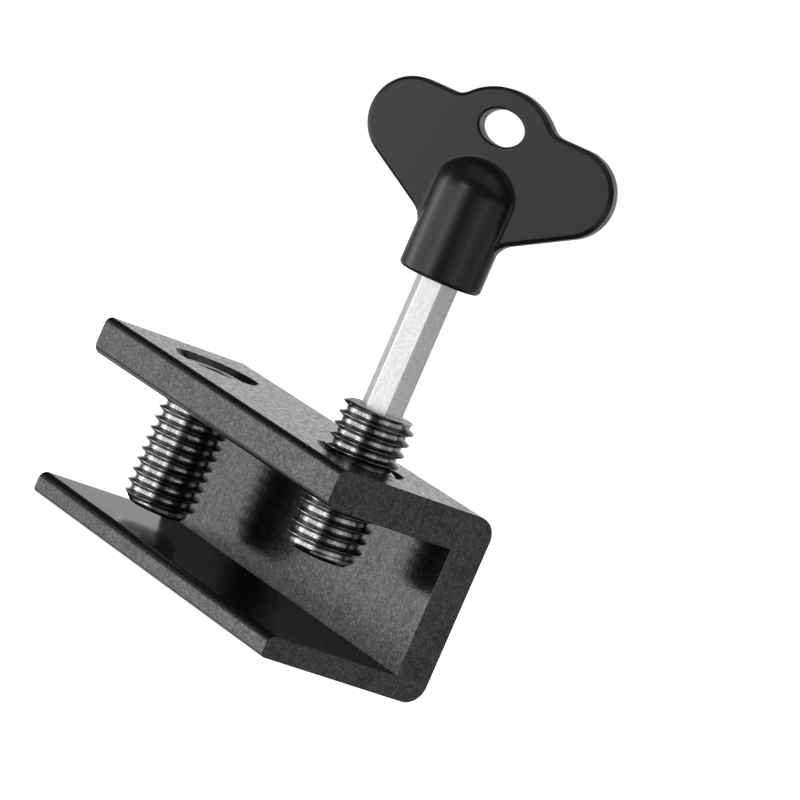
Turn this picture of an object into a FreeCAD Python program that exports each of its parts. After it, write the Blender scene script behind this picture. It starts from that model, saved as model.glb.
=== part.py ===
import FreeCAD, Part
import math
import os

os.makedirs("parts", exist_ok=True)

# All sizes are in millimetres. The origin is the middle of the channel's underside.
# X runs along the channel, the open side faces -Y, and the screws stand along Z.

# Channel: one length of extruded section
channel_length = 66.0
channel_depth = 25.0
channel_height = 25.5
top_flange = 5.2
bottom_flange = 3.0
web = 5.0
outer_corner = 2.7
nose_upper_round = 1.0
nose_lower_round = 1.3
lip_upper_round = 1.2
lip_lower_round = 0.6

# Where the two tapped holes stand
hole_end_margin = 13.0
hole_setback = 10.7
countersink_diameter = 12.3
countersink_angle = 90.0
burr_chamfer = 0.35

# Grub screws: M10 x 1.5, 20 long, flat point
screw_diameter = 10.0
screw_length = 20.0
thread_pitch = 1.5
thread_clearance = 0.05
point_diameter = 7.3
point_angle = 90.0
head_chamfer_diameter = 8.4
head_chamfer_angle = 120.0
socket_depth = 5.0
socket_drill_angle = 120.0
socket_mouth = 0.3

# How far each screw can still be driven before it is one gap above the lip
tip_gap = 0.3
near_turns_left = 6
far_turns_left = 1
far_socket_turn = 20.0

# Key: hexagonal bar with a moulded wing handle
key_size = 5.0
key_clearance = 0.05
key_corner_round = 0.25
key_end_chamfer = 0.25
key_reach = 18.1
key_grip = 12.6
key_turn = 41.0

# Handle: domed barrel carrying a flat plate with two wings and a crown
barrel_diameter = 11.0
barrel_height = 16.3
barrel_dome = 4.6
barrel_shoulder_round = 3.6
barrel_foot_round = 0.7
plate_thickness = 3.0
plate_edge_chamfer = 0.45
plate_root_fillet = 0.6
wing_span = 34.0
wing_round = 5.8
wing_slope = 30.0
wing_root_fillet = 3.0
crown_round = 8.2
crown_rise = 3.2
crown_wall = 2.7
valley_fillet = 2.4
ring_hole_width = 6.1
ring_hole_height = 4.6
ring_hole_above_dome = 2.2
ring_hole_chamfer = 0.2

# Two coordinates closer than this are taken as the same
same = 0.01

# Places worked out from the sizes above
free_edge = -channel_depth / 2
back_face = channel_depth / 2
under_top_flange = channel_height - top_flange
screw_row_y = free_edge + hole_setback
near_x = channel_length / 2 - hole_end_margin
far_x = -near_x
screw_radius = screw_diameter / 2
hole_radius = screw_radius + thread_clearance
near_tip = bottom_flange + tip_gap + near_turns_left * thread_pitch
far_tip = bottom_flange + tip_gap + far_turns_left * thread_pitch
socket_size = key_size + 2 * key_clearance
near_socket_floor = near_tip + screw_length - socket_depth
handle_base = near_tip + screw_length + key_reach
ring_hole_centre = barrel_height + ring_hole_above_dome + ring_hole_height / 2
crown_top = ring_hole_centre + ring_hole_height / 2 + crown_wall
wing_top = crown_top - crown_rise

up = FreeCAD.Vector(0, 0, 1)
origin = FreeCAD.Vector(0, 0, 0)
along_channel = FreeCAD.Vector(1, 0, 0)
plate_normal = FreeCAD.Vector(0, 1, 0)


def rounded_outline(corners):
    """Closed wire through (point, radius) corners, each corner replaced by a tangent arc."""
    edges = []
    starts = []
    ends = []
    arcs = []
    count = len(corners)
    for i in range(count):
        point, radius = corners[i]
        before = (corners[i - 1][0] - point).normalize()
        after = (corners[(i + 1) % count][0] - point).normalize()
        half_angle = before.getAngle(after) / 2
        reach = radius / math.tan(half_angle)
        start = point + before * reach
        end = point + after * reach
        bisector = (before + after).normalize()
        middle = point + bisector * (radius / math.sin(half_angle) - radius)
        starts.append(start)
        ends.append(end)
        arcs.append(Part.Arc(start, middle, end).toShape() if radius > 0 else None)
    for i in range(count):
        if arcs[i] is not None:
            edges.append(arcs[i])
        edges.append(Part.makeLine(ends[i], starts[(i + 1) % count]))
    return Part.Wire(edges)


def turned(profile):
    """Solid of revolution about Z from (radius, height) points joined by straight lines."""
    points = [FreeCAD.Vector(radius, 0, height) for radius, height in profile]
    face = Part.Face(Part.makePolygon(points + points[:1]))
    return face.revolve(origin, up, 360)


def hexagon_prism(across_flats, length, corner_round=0.0):
    """Hexagonal bar along +Z with flats facing +Y and -Y, and rounded long corners."""
    circumradius = across_flats / math.sqrt(3)
    corners = []
    for i in range(6):
        angle = math.radians(60 * i)
        corner = FreeCAD.Vector(circumradius * math.cos(angle), circumradius * math.sin(angle), 0)
        corners.append((corner, corner_round))
    return Part.Face(rounded_outline(corners)).extrude(up * length)


def tapped_hole():
    """Cutter for one hole: a wall at the thread's outer size, countersunk on top."""
    flare = math.tan(math.radians(countersink_angle / 2))
    mouth_radius = countersink_diameter / 2
    mouth_depth = (mouth_radius - hole_radius) / flare
    bottom_radius = hole_radius + burr_chamfer
    profile = [
        (0, under_top_flange - burr_chamfer),
        (bottom_radius + burr_chamfer, under_top_flange - burr_chamfer),
        (hole_radius, under_top_flange + burr_chamfer),
        (hole_radius, channel_height - mouth_depth),
        (mouth_radius, channel_height),
        (mouth_radius, channel_height + top_flange),
        (0, channel_height + top_flange),
    ]
    return turned(profile)


def channel():
    """Extruded C section: thick tapped flange above, web behind, thin lip below."""
    left = -channel_length / 2

    def at(y, z):
        return FreeCAD.Vector(left, y, z)

    inner_back = back_face - web
    section = rounded_outline([
        (at(free_edge, 0), lip_lower_round),
        (at(back_face, 0), outer_corner),
        (at(back_face, channel_height), outer_corner),
        (at(free_edge, channel_height), nose_upper_round),
        (at(free_edge, under_top_flange), nose_lower_round),
        (at(inner_back, under_top_flange), 0),
        (at(inner_back, bottom_flange), 0),
        (at(free_edge, bottom_flange), lip_upper_round),
    ])
    body = Part.Face(section).extrude(along_channel * channel_length)
    for x in (near_x, far_x):
        cutter = tapped_hole()
        cutter.translate(FreeCAD.Vector(x, screw_row_y, 0))
        body = body.cut(cutter)
    return body


def hex_socket():
    """Cutter for the blind hexagonal socket, with its drill point and eased mouth."""
    floor = screw_length - socket_depth
    recess = hexagon_prism(socket_size, socket_depth)
    recess.translate(up * floor)
    drill_radius = socket_size / 2
    drill_depth = drill_radius / math.tan(math.radians(socket_drill_angle / 2))
    drill_point = Part.makeCone(0, drill_radius, drill_depth,
                                FreeCAD.Vector(0, 0, floor - drill_depth), up)
    mouth_radius = socket_size / math.sqrt(3) + socket_mouth
    mouth = turned([
        (0, screw_length - mouth_radius),
        (mouth_radius, screw_length),
        (0, screw_length),
    ])
    return recess.fuse(drill_point).fuse(mouth)


def grub_screw(tip_height, x, socket_turn):
    """Flat-point socket screw at the thread's outer diameter, its tip at tip_height."""
    point_radius = point_diameter / 2
    point_rise = (screw_radius - point_radius) / math.tan(math.radians(point_angle / 2))
    head_radius = head_chamfer_diameter / 2
    head_fall = (screw_radius - head_radius) / math.tan(math.radians(head_chamfer_angle / 2))
    body = turned([
        (0, 0),
        (point_radius, 0),
        (screw_radius, point_rise),
        (screw_radius, screw_length - head_fall),
        (head_radius, screw_length),
        (0, screw_length),
    ])
    body = body.cut(hex_socket())
    body.rotate(origin, up, socket_turn)
    body.translate(FreeCAD.Vector(x, screw_row_y, tip_height))
    return body


def place_on_key_axis(shape, height):
    """Turn a piece of the key with its wings and stand it over the near screw."""
    shape.rotate(origin, up, key_turn)
    shape.translate(FreeCAD.Vector(near_x, screw_row_y, height))
    return shape


def key_bar():
    """Hexagonal bar from the socket's floor up into the barrel, eased at its lower end."""
    length = socket_depth + key_reach + key_grip
    bar = hexagon_prism(key_size, length, key_corner_round)
    end_radius = key_size / math.sqrt(3) - key_end_chamfer
    trimmer_radius = key_size
    trimmer = turned([
        (0, 0),
        (end_radius, 0),
        (trimmer_radius, trimmer_radius - end_radius),
        (trimmer_radius, length),
        (0, length),
    ])
    return place_on_key_axis(bar.common(trimmer), near_socket_floor)


def half_plate_outline(side):
    """Edges of one half of the plate's outline, from the crown down to the barrel."""
    def at(x, z):
        return FreeCAD.Vector(side * x, 0, z)

    def arc(centre, radius, start, end):
        angles = [math.radians(a) for a in (start, (start + end) / 2, end)]
        points = [at(centre[0] + radius * math.cos(a), centre[1] + radius * math.sin(a)) for a in angles]
        return Part.Arc(*points).toShape()

    crown_centre = (0, crown_top - crown_round)
    wing_centre = (wing_span / 2 - wing_round, wing_top - wing_round)
    valley_z = wing_top + valley_fillet
    centre_gap = crown_round + valley_fillet
    valley_x = math.sqrt(centre_gap ** 2 - (valley_z - crown_centre[1]) ** 2)
    crown_end = math.degrees(math.atan2(valley_z - crown_centre[1], valley_x))
    barrel_chord = math.sqrt((barrel_diameter / 2) ** 2 - (plate_thickness / 2) ** 2)

    # The wing's lower edge is a tangent of the wing's round, and meets the barrel in a fillet.
    slope = math.radians(wing_slope)
    lower_start = (wing_centre[0] + wing_round * math.sin(slope),
                   wing_centre[1] - wing_round * math.cos(slope))
    root_x = barrel_chord + wing_root_fillet
    run = (lower_start[0] - (root_x - wing_root_fillet * math.sin(slope))) / math.cos(slope)
    lower_end = (lower_start[0] - run * math.cos(slope), lower_start[1] - run * math.sin(slope))
    root_centre = (root_x, lower_end[1] - wing_root_fillet * math.cos(slope))
    foot = at(barrel_chord, root_centre[1])
    return [
        arc(crown_centre, crown_round, 90, crown_end),
        arc((valley_x, valley_z), valley_fillet, crown_end + 180, 270),
        Part.makeLine(at(valley_x, wing_top), at(wing_centre[0], wing_top)),
        arc(wing_centre, wing_round, 90, wing_slope - 90),
        Part.makeLine(at(*lower_start), at(*lower_end)),
        arc(root_centre, wing_root_fillet, wing_slope + 90, 180),
        Part.makeLine(foot, at(0, root_centre[1])),
    ]


def flat_edges(plate):
    """Edges of an upright plate that lie in one of its two faces."""
    half = plate_thickness / 2
    edges = []
    for edge in plate.Edges:
        box = edge.BoundBox
        if box.YLength < same and abs(abs(box.YMin) - half) < same:
            edges.append(edge)
    return edges


def wing_plate():
    """Flat plate with two wings, a crown and an oval ring hole, all its rims eased."""
    outline = Part.Wire(Part.__sortEdges__(half_plate_outline(1) + half_plate_outline(-1)))
    centre = FreeCAD.Vector(0, 0, ring_hole_centre)
    across = centre + FreeCAD.Vector(ring_hole_width / 2, 0, 0)
    upward = centre + FreeCAD.Vector(0, 0, ring_hole_height / 2)
    ring_hole = Part.Wire(Part.Ellipse(across, upward, centre).toShape())
    front = FreeCAD.Vector(0, -plate_thickness / 2, 0)
    thickness = plate_normal * plate_thickness
    blank = Part.Face(outline).extrude(thickness)
    blank.translate(front)
    plate = blank.makeChamfer(plate_edge_chamfer, flat_edges(blank))
    hole_cutter = Part.Face(ring_hole).extrude(thickness)
    hole_cutter.translate(front)
    plate = plate.cut(hole_cutter)
    hole_rims = []
    for edge in flat_edges(plate):
        off_centre = (edge.BoundBox.Center - centre).Length - plate_thickness / 2
        if off_centre < same and edge.BoundBox.XLength < ring_hole_width + same:
            hole_rims.append(edge)
    return plate.makeChamfer(ring_hole_chamfer, hole_rims)


def arc_about(centre, radius, start, end):
    """Arc in the XZ plane about a (x, z) centre, from one angle to another in radians."""
    points = []
    for angle in (start, (start + end) / 2, end):
        points.append(FreeCAD.Vector(centre[0] + radius * math.cos(angle), 0,
                                     centre[1] + radius * math.sin(angle)))
    return Part.Arc(*points).toShape()


def barrel():
    """Round boss with an eased foot, and a dome of a shoulder arc that runs into a spherical cap."""
    radius = barrel_diameter / 2
    shoulder = (radius - barrel_shoulder_round, barrel_height - barrel_dome)

    # The cap's centre lies on the axis, where the cap touches the shoulder arc from outside.
    inner_top = barrel_height - barrel_shoulder_round
    cap_z = (inner_top ** 2 - shoulder[0] ** 2 - shoulder[1] ** 2) / (2 * (inner_top - shoulder[1]))
    meeting = math.atan2(shoulder[1] - cap_z, shoulder[0])
    foot = (radius - barrel_foot_round, barrel_foot_round)
    edges = [
        Part.makeLine(origin, FreeCAD.Vector(foot[0], 0, 0)),
        arc_about(foot, barrel_foot_round, -math.pi / 2, 0),
        Part.makeLine(FreeCAD.Vector(radius, 0, foot[1]), FreeCAD.Vector(radius, 0, shoulder[1])),
        arc_about(shoulder, barrel_shoulder_round, 0, meeting),
        arc_about((0, cap_z), barrel_height - cap_z, meeting, math.pi / 2),
        Part.makeLine(FreeCAD.Vector(0, 0, barrel_height), origin),
    ]
    return Part.Face(Part.Wire(edges)).revolve(origin, up, 360)


def key_handle(bar):
    """Wing plate blended into its barrel, moulded round the bar."""
    body = wing_plate().fuse(barrel())
    roots = []
    for edge in flat_edges(body):
        box = edge.BoundBox
        within_barrel = max(-box.XMin, box.XMax) < barrel_diameter / 2
        if within_barrel and box.ZMax < barrel_height + same:
            roots.append(edge)
    body = body.makeFillet(plate_root_fillet, roots)
    return place_on_key_axis(body, handle_base).cut(bar)


bar = key_bar()
pieces = {
    "lock_channel": channel(),
    "near_grub_screw": grub_screw(near_tip, near_x, key_turn),
    "far_grub_screw": grub_screw(far_tip, far_x, far_socket_turn),
    "key_shank": bar,
    "key_handle": key_handle(bar),
}
for name, shape in pieces.items():
    solid = shape.Solids[0] if len(shape.Solids) == 1 else shape
    solid.exportStep("parts/" + name + ".step")
    box = solid.BoundBox
    print(name, len(shape.Solids), "solid", shape.isValid(), round(shape.Volume, 1), "mm3",
          [round(v, 2) for v in (box.XMin, box.YMin, box.ZMin, box.XMax, box.YMax, box.ZMax)])
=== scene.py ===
# %% [markdown]
# # A sliding window lock, dressed around its CAD frame
# The imported model gives every solid of the lock in metres: the black channel, two grub screws, the bright
# hexagonal key and its moulded handle. This script keeps those solids, gives each one its finish, and makes
# anew only what the plain solids leave out, which is the threads. The CAD box is kept straight after loading.

import bpy
import numpy as np
from mathutils import Matrix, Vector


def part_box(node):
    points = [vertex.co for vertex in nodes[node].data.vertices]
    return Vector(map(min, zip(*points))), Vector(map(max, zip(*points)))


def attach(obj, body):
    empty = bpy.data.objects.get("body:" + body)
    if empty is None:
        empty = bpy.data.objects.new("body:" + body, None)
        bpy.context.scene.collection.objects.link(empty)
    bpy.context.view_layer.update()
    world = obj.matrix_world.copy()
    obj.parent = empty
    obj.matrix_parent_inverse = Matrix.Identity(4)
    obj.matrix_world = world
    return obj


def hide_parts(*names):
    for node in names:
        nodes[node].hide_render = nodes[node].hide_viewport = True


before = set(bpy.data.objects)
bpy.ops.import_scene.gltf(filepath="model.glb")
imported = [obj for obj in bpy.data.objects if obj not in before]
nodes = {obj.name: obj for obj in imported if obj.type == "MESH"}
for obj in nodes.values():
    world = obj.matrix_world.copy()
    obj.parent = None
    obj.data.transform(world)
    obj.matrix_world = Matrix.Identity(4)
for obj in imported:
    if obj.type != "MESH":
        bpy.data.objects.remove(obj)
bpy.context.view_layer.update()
scene = bpy.context.scene
MM = 0.001

# %% [markdown]
# ## The camera
# A product photographer stands far off with a long lens, so that parallel edges stay nearly parallel. The
# camera here is placed the same way: it looks at an aim point on the lock from a compass angle and a height
# angle, and it is rolled, because in the picture the lock leans. Three angles and a distance say this more
# plainly than a matrix would, and a later change of view stays easy.

# %% camera
AIM = np.array([31.100, -7.385, 35.766]) * MM
DISTANCE = 708.0 * MM
COMPASS, HEIGHT, ROLL = np.radians([56.023, 5.720, 23.549])
SENSOR_WIDTH = 36.0
PICTURE_WIDTH = 800.0
FOCAL_PIXELS = 5711.46


def camera_axes(compass, height, roll):
    """Right, up and back of a camera. Back points from the aim to the camera; right starts level and turns
    about back by the roll angle."""
    back = np.array([np.sin(compass) * np.cos(height), -np.cos(compass) * np.cos(height), np.sin(height)])
    level = np.array([np.cos(compass), np.sin(compass), 0.0])
    right = np.cos(roll) * level + np.sin(roll) * np.cross(back, level)
    return right, np.cross(back, right), back


def placed(right, up, back, location):
    """World matrix whose columns are three axes and a place."""
    matrix = np.eye(4)
    matrix[:3, :4] = np.column_stack([right, up, back, location])
    return Matrix(matrix.tolist())


right, up, back = camera_axes(COMPASS, HEIGHT, ROLL)
camera = bpy.data.objects.new("camera", bpy.data.cameras.new("camera"))
scene.collection.objects.link(camera)
camera.data.sensor_width = SENSOR_WIDTH
camera.data.lens = FOCAL_PIXELS * SENSOR_WIDTH / PICTURE_WIDTH
camera.matrix_world = placed(right, up, back, AIM + DISTANCE * back)
scene.camera = camera
print(f"lens {camera.data.lens:.1f} mm, {DISTANCE:.3f} m from the lock")

# %% [markdown]
# ## Surfaces from grids
# Every new shape in this file is a grid of points worked out with whole numpy arrays: rows run one way over
# the surface and columns the other. One helper turns such a grid into a mesh. It joins the last column to the
# first, merges points that fall together (poles, seams, rows squeezed flat at an end) and turns the shell so
# that its faces point outwards.

# %% grid helper
import bmesh

MERGE_DISTANCE = 1e-7


def surface(name, points, crease_degrees=30.0, **marks):
    """Mesh object from an array of shape (rows, columns, 3): each cell between two rows and two columns
    becomes one face, and edges bent by more than the crease angle stay sharp. Marks are arrays of shape
    (rows, columns) that are kept with the points for a material to read."""
    rows, columns = points.shape[:2]
    corner = np.arange(rows * columns).reshape(rows, columns)
    cells = np.stack([corner[:-1, :-1], corner[:-1, 1:], corner[1:, 1:], corner[1:, :-1]], axis=-1)
    mesh = bpy.data.meshes.new(name)
    mesh.from_pydata(points.reshape(-1, 3), [], cells.reshape(-1, 4))
    for mark, values in marks.items():
        mesh.attributes.new(mark, "FLOAT", "POINT").data.foreach_set("value", values.ravel())
    shell = bmesh.new()
    shell.from_mesh(mesh)
    bmesh.ops.remove_doubles(shell, verts=shell.verts, dist=MERGE_DISTANCE)
    bmesh.ops.dissolve_degenerate(shell, edges=shell.edges, dist=MERGE_DISTANCE)
    bmesh.ops.recalc_face_normals(shell, faces=shell.faces)
    shell.to_mesh(mesh)
    shell.free()
    mesh.shade_smooth()
    mesh.set_sharp_from_angle(angle=np.radians(crease_degrees))
    thing = bpy.data.objects.new(name, mesh)
    scene.collection.objects.link(thing)
    return thing


# %% [markdown]
# ## Floor and studio
# The lock stands on a plain white sweep: a floor that turns up into a wall far away and closes overhead, one
# profile carried round the upright axis. A flat floor and a wall would do too, but a line would show where
# they meet. The sweep's paint glows a little and also takes light, so it stays white where light falls and
# goes faintly grey where the lock shades it. Only the camera sees it. What the lock itself reflects comes
# from the lamps below, which keeps the two jobs apart.

# %% sweep
FLOOR_RADIUS = 4.0
COVE_RADIUS = 4.0
SWEEP_TURNS = 96
SWEEP_STEPS = 24
FLOOR_DROP = 0.05 * MM


def sweep_profile():
    """Radius and height along the sweep: a flat run, a quarter circle up, and a quarter ellipse that closes
    overhead."""
    turn = np.linspace(0.0, np.pi / 2, SWEEP_STEPS)
    flat = np.linspace(0.0, FLOOR_RADIUS, SWEEP_STEPS)
    wall = FLOOR_RADIUS + COVE_RADIUS
    rise = COVE_RADIUS * (1 - np.cos(turn))
    closing = COVE_RADIUS * (1 + np.sin(turn))
    radius = np.concatenate([flat, FLOOR_RADIUS + COVE_RADIUS * np.sin(turn), wall * np.cos(turn)])
    height = np.concatenate([np.zeros_like(flat), rise, closing])
    return radius, height - FLOOR_DROP


radius, height = sweep_profile()
turn = np.linspace(0.0, 2 * np.pi, SWEEP_TURNS + 1)
sweep = surface("studio_sweep", np.stack([
    radius[:, None] * np.cos(turn),
    radius[:, None] * np.sin(turn),
    height[:, None] * np.ones_like(turn),
], axis=-1))
for rays in ("visible_diffuse", "visible_glossy", "visible_transmission", "visible_shadow"):
    setattr(sweep, rays, False)
print("sweep faces:", len(sweep.data.polygons))

# %% [markdown]
# ## A small language for materials
# A material in Blender is a graph of nodes. Written out link by link it is long and hard to read, so one
# small class wraps an output socket. Sums on such wires add Math nodes, which lets a mask be written as the
# formula that it is, and one method adds any other node: its settings first, then the values or wires of its
# sockets.

# %% wires
class Wire:
    """An output socket of a node tree. + - * on wires and numbers add Math nodes, add() any other node."""

    def __init__(self, tree, socket=None):
        self.tree = tree
        self.socket = socket

    def add(self, kind, settings=None, output=0, **values):
        """New node of a type. Settings are its properties; values go to the sockets whose names they have,
        with _ for a space, or to a numbered socket as in _1."""
        node = self.tree.nodes.new("ShaderNode" + kind)
        for name, value in (settings or {}).items():
            setattr(node, name, value)
        for name, value in values.items():
            key = int(name[1:]) if name[1:].isdigit() else name.replace("_", " ")
            if isinstance(value, Wire):
                self.tree.links.new(value.socket, node.inputs[key])
            else:
                node.inputs[key].default_value = value
        return Wire(self.tree, node.outputs[output] if len(node.outputs) else None)

    def math(self, operation, *terms, clamp=False):
        """Math node of an operation on wires or numbers, held between 0 and 1 where clamp is set."""
        numbered = {f"_{i}": term for i, term in enumerate(terms)}
        return self.add("Math", {"operation": operation, "use_clamp": clamp}, **numbered)

    def __add__(self, other):
        return self.math("ADD", self, other)

    def __sub__(self, other):
        return self.math("SUBTRACT", self, other)

    def __rsub__(self, other):
        return self.math("SUBTRACT", other, self)

    def __mul__(self, other):
        return self.math("MULTIPLY", self, other)

    __radd__ = __add__
    __rmul__ = __mul__

    def between(self, low, high):
        """0 below low, 1 above high, and a straight ramp between."""
        return self.math("MULTIPLY", self - low, 1.0 / (high - low), clamp=True)

    def tint(self, dark, light):
        """Colour that runs from dark to light as this wire runs from 0 to 1."""
        return self.add("Mix", {"data_type": "RGBA"}, output=2, _0=self, _6=(*dark, 1.0), _7=(*light, 1.0))


def new_tree(name):
    """Empty material and the first wire of its tree."""
    material = bpy.data.materials.new(name)
    material.use_nodes = True
    material.node_tree.nodes.clear()
    return material, Wire(material.node_tree)


def close(start, shader):
    """Send a shader to the material's output."""
    start.add("OutputMaterial", Surface=shader)


def object_noise(start, scale, detail=2.0, rough=0.5):
    """Noise on the piece's own coordinates; scale is in cells per metre."""
    place = start.add("TexCoord", output=3)
    return start.add("TexNoise", Vector=place, Scale=scale, Detail=detail, Roughness=rough)


print("wire operations: + - * between tint")

# %% [markdown]
# ## The sweep's paint
# Two shaders are added together: a glow that is just under white, and a matt white that adds what the lamps
# throw on the floor. Together they pass white, so the floor is blank except close under the lock. Matt paint
# alone would turn grey far from the lamps, and a glow alone would lose the soft shade under the lock.

# %% sweep paint
NEAR_GLOW = 0.93
FAR_GLOW = 1.0
SWEEP_WHITE = 0.80
NEAR_RADIUS, FAR_RADIUS = 0.10, 0.60

paint, start = new_tree("sweep_white")
place = start.add("TexCoord", output=3)
from_lock = start.add("VectorMath", {"operation": "LENGTH"}, output=1, _0=place)
far = from_lock.between(NEAR_RADIUS, FAR_RADIUS)
glow = start.add("Emission", Color=far.tint((NEAR_GLOW,) * 3, (FAR_GLOW,) * 3), Strength=1.0)
matt = start.add("BsdfDiffuse", Color=(SWEEP_WHITE, SWEEP_WHITE, SWEEP_WHITE, 1.0))
close(start, start.add("AddShader", _0=glow, _1=matt))
sweep.data.materials.append(paint)
print("sweep glow:", NEAR_GLOW, "near the lock,", FAR_GLOW, "far away")

# %% [markdown]
# ## Lamps
# Black metal shows its surroundings more than its own colour, so the lamps are placed by what each face of
# the lock mirrors towards the camera. The open front mirrors a large box low on the left, the top face
# mirrors a bright wall behind, and the end of the channel mirrors a dim box on the right. The gap that is
# left between the front lamps and the right ones is just as useful: it runs down every round part as a dark
# band, and a narrow strip on the left puts a bright line beside each left edge. Weak lamps high up and behind
# keep the faces that the first view does not show from going black. One picture of a studio, wrapped round
# the scene, could light it as well, but single lamps can be moved one at a time. Each is given by its compass
# angle from +X, its height angle and its size seen from the lock, because the reflections depend on those.

# %% lamps
LAMP_CENTRE = np.array([0.0, 0.0, 30.0]) * MM
LAMP_DISTANCE = 0.9
WORLD_GREY = 0.035


def soft_box(name, compass, height, wide, tall, glow, mirrored=True):
    """Area lamp on a sphere round the lock, facing it. Wide and tall are angles in degrees, and the lamp's
    power is glow times pi times its area, so that glow is the radiance that a mirror shows."""
    a, e = np.radians([compass, height])
    back = np.array([np.cos(a) * np.cos(e), np.sin(a) * np.cos(e), np.sin(e)])
    right = np.array([-np.sin(a), np.cos(a), 0.0])
    width, tallness = 2 * LAMP_DISTANCE * np.tan(np.radians([wide / 2, tall / 2]))
    lamp = bpy.data.lights.new(name, "AREA")
    lamp.shape = "RECTANGLE"
    lamp.size, lamp.size_y = float(width), float(tallness)
    lamp.energy = float(glow * np.pi * width * tallness)
    holder = bpy.data.objects.new(name, lamp)
    scene.collection.objects.link(holder)
    holder.matrix_world = placed(right, np.cross(back, right), back, LAMP_CENTRE + LAMP_DISTANCE * back)
    holder.visible_camera = False
    holder.visible_glossy = mirrored
    return holder


# Compass and height angle, width and tallness in degrees, glow, and False where no mirror shows the lamp
LAMPS = {
    "left_table": (244, -18.5, 80, 49, 1.4),
    "left_haze": (232, 10, 92, 12, 0.35),
    "left_glow": (224, 22, 90, 12, 0.2),
    "left_end": (177, -20, 22, 44, 0.6),
    "left_strip": (226, -12, 10, 60, 2.3),
    "front_left": (292, -11, 18, 78, 1.35),
    "front_strip": (288, -8, 8, 60, 1.5),
    "front_high": (284, 20, 26, 16, 1.6),
    "back_wall": (139, 4.5, 54, 15, 1.12),
    "back_high": (122, 21, 36, 20, 0.45),
    "back_low": (112, -20, 70, 36, 0.5),
    "right_fill": (57, -14, 14, 40, 0.65),
    "right_spot": (3, -10, 20, 40, 0.45),
    "right_dim": (12, -10, 76, 40, 0.42),
    "right_high": (58, 58, 60, 50, 0.25),
    "zenith": (326, 89, 56, 56, 0.22),
    "overhead": (60, 68, 60, 60, 1.0, False),
}
for name, figures in LAMPS.items():
    soft_box(name, *figures)

world = bpy.data.worlds.new("studio_dim")
world.use_nodes = True
world.node_tree.nodes["Background"].inputs["Color"].default_value = (WORLD_GREY,) * 3 + (1.0,)
scene.world = world
scene.view_settings.view_transform = "Standard"
print("lamps:", ", ".join(LAMPS))

# %% [markdown]
# ## Black anodised channel
# The extrusion is blasted with fine beads before it is dyed black, so it is a dark metal full of tiny pits:
# satin rather than glossy, with light grains that sparkle. A very fine noise, a few cells to the millimetre,
# moves the colour, the gloss and the bump together, and two broader ones keep large faces from looking like
# one flat tone. A photographed surface could be wrapped round the bar instead, but noise on the piece's own
# coordinates has no seams. A Bevel node rounds the cut edges for the light alone.
#
# Three places need more. The top is seen almost edge-on, where colour and bump even out, so there the grain
# is made by flecks that are a little less glossy. And the inner corner between the lip and the web would
# vanish, because two flat mirrors at a right angle show each other the same dark lip. The shape stays flat
# there, but the light of the lip's upper face is leant outwards by a few degrees, the light of the web's foot
# is leant upwards by as much, and the corner is crisp. Bending the faces would move a part that has to fit.

# %% where a face looks
FACING_WINDOW = (0.85, 0.95)


def looking(start, axis, way):
    """1 where the surface looks along an axis (0, 1 or 2), or against it where way is -1, and 0 elsewhere."""
    normal = start.add("NewGeometry", output=1)
    along = start.add("SeparateXYZ", Vector=normal, output=axis)
    return (along * way).between(*FACING_WINDOW)


def leant(light, shift, mask):
    """The direction that takes the light, plus a small shift times a mask."""
    scaled = light.add("VectorMath", {"operation": "SCALE"}, _0=shift, Scale=mask)
    return light.add("VectorMath", {"operation": "ADD"}, _0=light, _1=scaled)


print("facing counts from a cosine of", FACING_WINDOW[0], "and fully from", FACING_WINDOW[1])

# %% light of the inner corner
ANODISED_EDGE = 0.18 * MM
LIP_FACE, FOOT_START = 3.0 * MM, 3.1 * MM
FOOT_FULL, FOOT_END = 3.5 * MM, 9.0 * MM
LEAN = 0.07


def corner_light(start, height, lip):
    """The light's direction on rounded edges, leant outwards where the lip's mask is 1, and leant upwards on
    the web's foot. The foot starts at the lip's face and fades out above its full height."""
    foot = height.between(LIP_FACE, FOOT_START) * (1 - height.between(FOOT_FULL, FOOT_END))
    light = start.add("Bevel", {"samples": 6}, Radius=ANODISED_EDGE)
    light = leant(light, (0.0, -LEAN, 0.0), lip)
    return leant(light, (0.0, 0.0, LEAN), looking(start, 1, -1) * foot)


print(f"the light leans by {np.degrees(np.arctan(LEAN)):.1f} degrees")

# %% channel finish
GRAIN, MOTTLE, CLOUD, FLECKS = 4200.0, 1300.0, 260.0, 1500.0
GRAIN_WINDOW = (0.32, 0.68)
SPARKLE_WINDOW = (0.58, 0.74)
FLECK_WINDOW = (0.35, 0.65)
WINDOW = (0.3, 0.7)
ANODISED_DARK = (0.019, 0.0188, 0.0185)
ANODISED_LIGHT = (0.212, 0.21, 0.205)
PIT_DEPTH = 0.02 * MM
LIP_HEIGHT, FLANGE_HEIGHT = 5.0 * MM, 15.0 * MM


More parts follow.
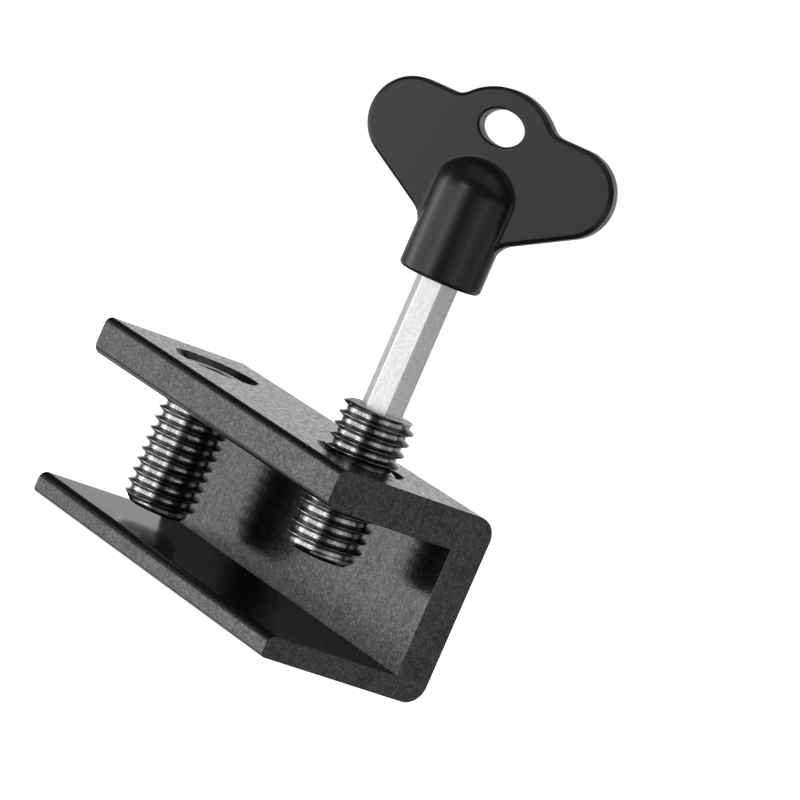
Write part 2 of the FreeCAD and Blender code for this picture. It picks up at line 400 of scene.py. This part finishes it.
def anodised():
    """Dark metal. Its tone is 0.40 grain + 0.16 mottle + 0.12 cloud + 0.2 sparkle, each noise first stretched
    over its window. Grain and mottle make the pits, and grain and the top's flecks make it less glossy."""
    material, start = new_tree("anodised_black")
    grain = object_noise(start, GRAIN, detail=2.0, rough=0.6)
    mottle = object_noise(start, MOTTLE, detail=2.0)
    cloud = object_noise(start, CLOUD, detail=3.0)
    flecks = object_noise(start, FLECKS, detail=4.0, rough=0.7).between(*FLECK_WINDOW)
    fine = grain.between(*GRAIN_WINDOW) * 0.40
    broad = mottle.between(*WINDOW) * 0.16 + cloud.between(*WINDOW) * 0.12
    sparkle = grain.between(*SPARKLE_WINDOW) * 0.2
    height = start.add("SeparateXYZ", Vector=start.add("TexCoord", output=3), output=2)
    on_flange = height.between(LIP_HEIGHT, FLANGE_HEIGHT)
    upwards = looking(start, 2, 1)
    light = corner_light(start, height, upwards * (1 - on_flange))
    relief = grain * 0.8 + mottle * 3.0
    shader = start.add(
        "BsdfPrincipled",
        Base_Color=(fine + broad + sparkle).tint(ANODISED_DARK, ANODISED_LIGHT),
        Metallic=0.95,
        Roughness=0.13 + grain * 0.10 + upwards * (on_flange * flecks * 0.14 + (1 - on_flange) * 0.05),
        Normal=start.add("Bump", Strength=0.25, Distance=PIT_DEPTH, Height=relief, Normal=light),
    )
    close(start, shader)
    return material


def wear(node, material):
    """Give a CAD node its finish in every slot."""
    for slot in nodes[node].material_slots:
        slot.material = material


wear("lock_channel", anodised())
print("channel: bead-blasted, anodised black")

# %% [markdown]
# ## Bright key steel
# The key is cut from drawn hexagonal bar and only lightly plated. Drawing leaves long, faint lines along the
# bar, and handling leaves cloudy dull patches. An anisotropic shader would smear the highlight along the bar
# but show no lines, so the lines are a noise, stretched twenty-fold along the bar with a Mapping node. A
# second noise blurs the gloss in patches.

# %% key finish
LINES, PATCHES = 5000.0, 2200.0
PATCH_WINDOW = (0.35, 0.65)
LINES_STRETCH = 0.05
STEEL_DARK = (0.64, 0.64, 0.635)
STEEL_LIGHT = (0.98, 0.98, 0.97)
STEEL_EDGE = 0.12 * MM
LINE_DEPTH = 0.01 * MM


def bright_steel():
    """Light metal: long lines move the colour and the bump, patches move the colour and the gloss."""
    material, start = new_tree("bright_steel")
    place = start.add("TexCoord", output=3)
    drawn = start.add("Mapping", Vector=place, Scale=(1.0, 1.0, LINES_STRETCH))
    lines = start.add("TexNoise", Vector=drawn, Scale=LINES, Detail=3.0)
    patches = object_noise(start, PATCHES, detail=3.0)
    tone = lines * 0.5 + patches.between(*PATCH_WINDOW) * 0.5
    eased = start.add("Bevel", {"samples": 6}, Radius=STEEL_EDGE)
    shader = start.add(
        "BsdfPrincipled",
        Base_Color=tone.tint(STEEL_DARK, STEEL_LIGHT),
        Metallic=0.75,
        Roughness=0.27 + patches * 0.16,
        Normal=start.add("Bump", Strength=0.12, Distance=LINE_DEPTH, Height=lines, Normal=eased),
    )
    close(start, shader)
    return material


wear("key_shank", bright_steel())
print("key: bright drawn steel")

# %% [markdown]
# ## Moulded black handle
# The handle is injection-moulded plastic with a fine satin skin. Such a skin is almost even: what gives it
# life is a very faint orange peel, a little dulling in patches, and rims that are rounded rather than cut.
# The solids have small flats on the rims. Rounding them in the mesh would take many thin faces, so the Bevel
# node rounds them off in the light.

# %% handle finish
PEEL, SKIN, DULLING = 1500.0, 7000.0, 120.0
PLASTIC_DARK = (0.009, 0.009, 0.0092)
PLASTIC_LIGHT = (0.015, 0.015, 0.0153)
PLASTIC_EDGE = 0.3 * MM
PEEL_DEPTH = 0.02 * MM


def satin_plastic():
    """Near-black plastic: two noises make its faint relief, and a broad one its dulling."""
    material, start = new_tree("satin_black_plastic")
    relief = object_noise(start, PEEL, detail=2.0) * 0.7 + object_noise(start, SKIN, detail=1.0) * 0.3
    dulling = object_noise(start, DULLING, detail=3.0)
    eased = start.add("Bevel", {"samples": 8}, Radius=PLASTIC_EDGE)
    shader = start.add(
        "BsdfPrincipled",
        Base_Color=dulling.tint(PLASTIC_DARK, PLASTIC_LIGHT),
        Roughness=0.26 + dulling * 0.08,
        Specular_IOR_Level=0.46,
        Normal=start.add("Bump", Strength=0.10, Distance=PEEL_DEPTH, Height=relief, Normal=eased),
    )
    close(start, shader)
    return material


wear("key_handle", satin_plastic())
print("handle: satin moulded plastic")

# %% [markdown]
# ## Threads
# The two grub screws are solids of plain outline in the CAD. On the real ones the eye goes straight to the
# thread, so both are made again as one surface each. Every column of the grid is an upright line on the screw
# at its own angle, every row winds up like the thread, and the radius depends only on where a point lies
# within one turn of the thread: a narrow crest, a steep flank, and a broad root that shines as a bar. How far
# the surface leans is kept with each point, so that the finish can tell the flanks from the rest. Rows that
# would pass an end are held at that end, where they fall together and merge. A Screw modifier could wind the
# same profile, but its ends would have to be cut and capped afterwards.

# %% thread profile
PITCH = 1.5
CREST_RADIUS = 4.985
CREST_FLAT = 0.075
CREST_ROUND = 0.13
ROOT_FLAT = 0.22
ROOT_ROUND = 0.12
ARC_STEPS = 4
FLANK = np.radians(64.0)


def half_turn_profile():
    """Offsets from the crest's middle in mm along the screw, radii, and how steep the surface is from 0 to 1:
    flat crest, small round, straight flank, round root, flat root. Each arc is swept by the angle that the
    surface leans, from 0 to the flank's own angle."""
    lean = np.linspace(0.0, FLANK, ARC_STEPS)
    back = lean[::-1]
    crest_offset = CREST_FLAT + CREST_ROUND * (np.sin(lean) - np.tan(FLANK / 2))
    crest_radius = CREST_RADIUS - CREST_ROUND * (1 - np.cos(lean))
    root_offset = PITCH / 2 - ROOT_FLAT - ROOT_ROUND * np.sin(back)
    flank_fall = (root_offset[0] - crest_offset[-1]) * np.tan(FLANK)
    root_radius = crest_radius[-1] - flank_fall - ROOT_ROUND * (np.cos(back) - np.cos(FLANK))
    offset = np.concatenate([[0.0], crest_offset, root_offset, [PITCH / 2]])
    radius = np.concatenate([[CREST_RADIUS], crest_radius, root_radius, root_radius[-1:]])
    steep = np.concatenate([[0.0], lean, back, [0.0]]) / FLANK
    return offset, radius, steep


half_offset, half_radius, half_steep = half_turn_profile()
thread_offset = np.concatenate([half_offset, PITCH - half_offset[-2::-1]])
thread_radius = np.concatenate([half_radius, half_radius[-2::-1]])
thread_steep = np.concatenate([half_steep, half_steep[-2::-1]])
print("profile rows in one turn:", len(thread_offset) - 1)

# %% [markdown]
# ## Threaded rows
# A real grub screw is chamfered at its head and coned at its point. Cutters could take both from the threaded
# surface, but they are plain sums on the same arrays: a cone caps the radius at each height, so the point and
# the head cut the thread down. A cone of 90 degrees gains as much radius as height, and one of 120 degrees
# the square root of 3 times as much.

# %% threaded rows
COLUMNS = 120
SCREW_LENGTH = 20.0
POINT_RADIUS = 3.65
POINT_SLOPE = 1.0
HEAD_RADIUS = 4.35
HEAD_SLOPE = np.sqrt(3.0)


def threaded_rows(angle, tip, top, crest_height):
    """Heights, radii and steepness. The row that starts at height h on column angle a lies at
    h + pitch * a / turn, and its radius comes from its height above the crest below; crest_height is a
    crest's height at angle 0. The two cones cap the radius, and where they do, nothing is steep."""
    climb = PITCH * angle / (2 * np.pi)
    lowest = np.floor((tip - crest_height) / PITCH) - 2
    turns = np.arange(lowest, np.ceil((top - crest_height) / PITCH) + 1)
    starts = (crest_height + PITCH * turns[:, None] + thread_offset[None, :-1]).ravel()
    height = np.clip(starts[:, None] + climb, tip, top)
    within = np.mod(height - climb - crest_height, PITCH)
    thread = np.interp(within, thread_offset, thread_radius)
    steep = np.interp(within, thread_offset, thread_steep)
    cone = np.minimum(POINT_RADIUS + (height - tip) * POINT_SLOPE, HEAD_RADIUS + (top - height) * HEAD_SLOPE)
    return height, np.minimum(thread, cone), steep * (thread <= cone)


print("columns:", COLUMNS, "and length:", SCREW_LENGTH, "mm")

# %% [markdown]
# ## The socket
# The socket is a hexagonal hole, broached over a drilled one, so a shallow cone lies at its bottom. The last
# rows of the same grid run over the head and down into it, which leaves no seam. A hexagon's radius at an
# angle is its half width over the cosine of the angle from the middle of the nearest flat.

# %% socket rows
SOCKET_ACROSS = 5.1
SOCKET_DEPTH = 5.0
DRILL_DEPTH = SOCKET_ACROSS / 2 / np.sqrt(3.0)
MOUTH = 0.04
SIXTH = np.pi / 3


def socket_rows(angle, top, socket_turn):
    """Heights and radii from the mouth's small bevel down the hexagon to its floor, and down the drill's cone
    of 120 degrees to a point."""
    from_flat = np.mod(angle - np.radians(socket_turn), SIXTH) - SIXTH / 2
    hexagon = SOCKET_ACROSS / 2 / np.cos(from_flat)
    whole = np.ones_like(angle)
    floor = top - SOCKET_DEPTH
    heights = np.outer([top, top - MOUTH, floor, floor, floor - DRILL_DEPTH], whole)
    radii = np.array([hexagon + MOUTH, hexagon, hexagon, SOCKET_ACROSS / 2 * whole, 0 * whole])
    return heights, radii


print("socket:", SOCKET_ACROSS, "mm across,", SOCKET_DEPTH, "mm deep")

# %% [markdown]
# ## The whole screws
# A point in the middle of the tip closes the surface below, the threaded rows come next, and the socket's
# rows close it above. Two places are marked as worn, because tools and other metal rub them: the flat ring on
# the head, and the upper part of the point's cone. Each screw then rides with its body and takes the place of
# the plain one.

# %% screw surface
SCREW_CREASE = 25.0
MERGED = 0.01
RIM_LOW, RIM_HIGH = 0.45, 1.3
RIM_WEAR = 0.5


def screw(name, axis, tip, crest_height, socket_turn):
    """Threaded grub screw, in mm. Its points lie at the axis plus the radius times the cosine and sine of the
    column's angle. Worn is 1 on the head's ring, and RIM_WEAR where the point's cone is cut between two
    heights over the tip."""
    angle = np.radians(socket_turn) + np.linspace(0.0, 2 * np.pi, COLUMNS + 1)
    top = tip + SCREW_LENGTH
    height, radius, steep = threaded_rows(angle, tip, top, crest_height)
    end_height, end_radius = socket_rows(angle, top, socket_turn)
    middle = np.zeros_like(angle)
    steep = np.vstack([middle, steep, 0 * end_radius])
    radius = np.vstack([middle, radius, end_radius])
    height = np.vstack([middle + tip, height, end_height])
    points = np.stack([axis[0] + radius * np.cos(angle), axis[1] + radius * np.sin(angle), height], axis=-1)
    ring = (height > top - MERGED) & (radius > SOCKET_ACROSS / 2)
    rim = (height > tip + RIM_LOW) & (height < tip + RIM_HIGH)
    cut = (steep == 0) & (radius < CREST_RADIUS - MERGED)
    worn = 1.0 * ring + RIM_WEAR * (rim & cut)
    # steep goes with the mesh so that the finish can paint shade on the flanks
    return surface(name, points * MM, SCREW_CREASE, worn=worn, steep=steep)


def screw_places(node):
    """Axis and tip height of a CAD screw, read from its box, in mm."""
    low, high = (np.array(corner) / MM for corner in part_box(node))
    return (low[:2] + high[:2]) / 2, low[2]


# Body, a crest's height in mm at angle 0, and the socket's turn in degrees
SCREWS = {
    "near_grub_screw": ("near_screw", 0.85, 41.0),
    "far_grub_screw": ("far_screw", 0.36, 20.0),
}
threaded = []
for node, (body, crest_height, socket_turn) in SCREWS.items():
    axis, tip = screw_places(node)
    made = screw(f"{body}_thread", axis, tip, crest_height, socket_turn)
    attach(made, body)
    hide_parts(node)
    threaded.append(made)
    print(made.name, "tip at", round(float(tip), 2), "mm,", len(made.data.polygons), "faces")

# %% [markdown]
# ## Black oxide on the screws
# The screws are hardened steel with a black oxide skin: thin, slightly oily, and rubbed back to grey on the
# ring of the head and the rim of the point. The base is a dark metal with a low roughness, so that crests and
# roots catch the lamps as bright bars, and a fine noise breaks those bars up as the rolling marks do. On the
# flanks the tone is halved as painted shade, which stands in for the shade that falls between the threads.
# Separate materials for these places would need hard borders, so both marks that the grid kept are read here
# by name with an Attribute node.

# %% screw finish
MARKS, OIL = 3000.0, 700.0
FLANK_SHADE_WINDOW = (0.65, 1.0)
OXIDE_DARK = (0.02, 0.02, 0.02)
OXIDE_LIGHT = (0.92, 0.915, 0.91)
MARK_DEPTH = 0.01 * MM


def black_oxide():
    """Dark metal whose tone is 0.16 and half of the two noises' sum, lighter where worn, and halved on flanks
    as painted shade.
    """
    material, start = new_tree("black_oxide_steel")
    marks = object_noise(start, MARKS, detail=3.0)
    oil = object_noise(start, OIL, detail=3.0)
    skin = marks.between(*WINDOW) * 0.6 + oil.between(*WINDOW) * 0.4
    worn = start.add("Attribute", {"attribute_name": "worn"}, output=2)
    steep = start.add("Attribute", {"attribute_name": "steep"}, output=2).between(*FLANK_SHADE_WINDOW)
    # painted shade: the tone is halved on the flanks, for the shade that falls between the threads
    tone = (0.16 + skin * 0.5 + worn * 0.5) * (1 - steep * 0.5)
    shader = start.add(
        "BsdfPrincipled",
        Base_Color=tone.tint(OXIDE_DARK, OXIDE_LIGHT),
        Metallic=1 - worn * 0.85,
        Roughness=0.14 + oil * 0.14 + worn * 0.2,
        Normal=start.add("Bump", Strength=0.4, Distance=MARK_DEPTH, Height=marks),
    )
    close(start, shader)
    return material


oxide = black_oxide()
for made in threaded:
    made.data.materials.append(oxide)
print("screws: black oxide, worn at the ends")
